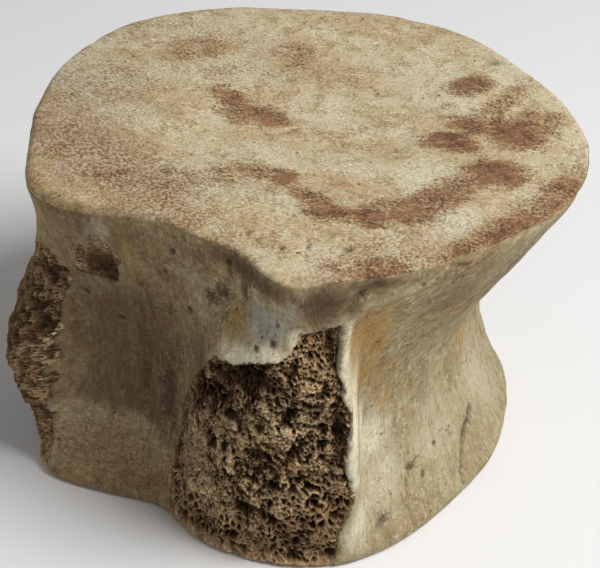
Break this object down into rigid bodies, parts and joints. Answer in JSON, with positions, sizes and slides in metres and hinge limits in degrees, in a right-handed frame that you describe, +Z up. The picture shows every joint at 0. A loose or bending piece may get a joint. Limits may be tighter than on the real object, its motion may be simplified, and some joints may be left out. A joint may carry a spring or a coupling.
{
  "type": "fossil plesiosaur vertebra",
  "caption": "Fossil plesiosaur backbone vertebra, a waisted spool of bone standing on one joint face, with its arch broken off to spongy scars beside the cord groove.",
  "frame": {"origin": "middle of the bounding box at the level of the lower joint face, on which the bone stands", "axes": "+Z up along the bone's length from one joint face to the other, -Y towards the back of the animal where the broken arch roots and cord groove are, +X to the right of a viewer facing them"},
  "size_m": [0.0974, 0.095, 0.0632],
  "materials": {
    "fossil_bone": "matt cream to tan mineralised bone, with red-brown iron stains and brown spongy breaks"
  },
  "bodies": {
    "root": {"vertebra": "fossil_bone"}
  },
  "joints": []
}
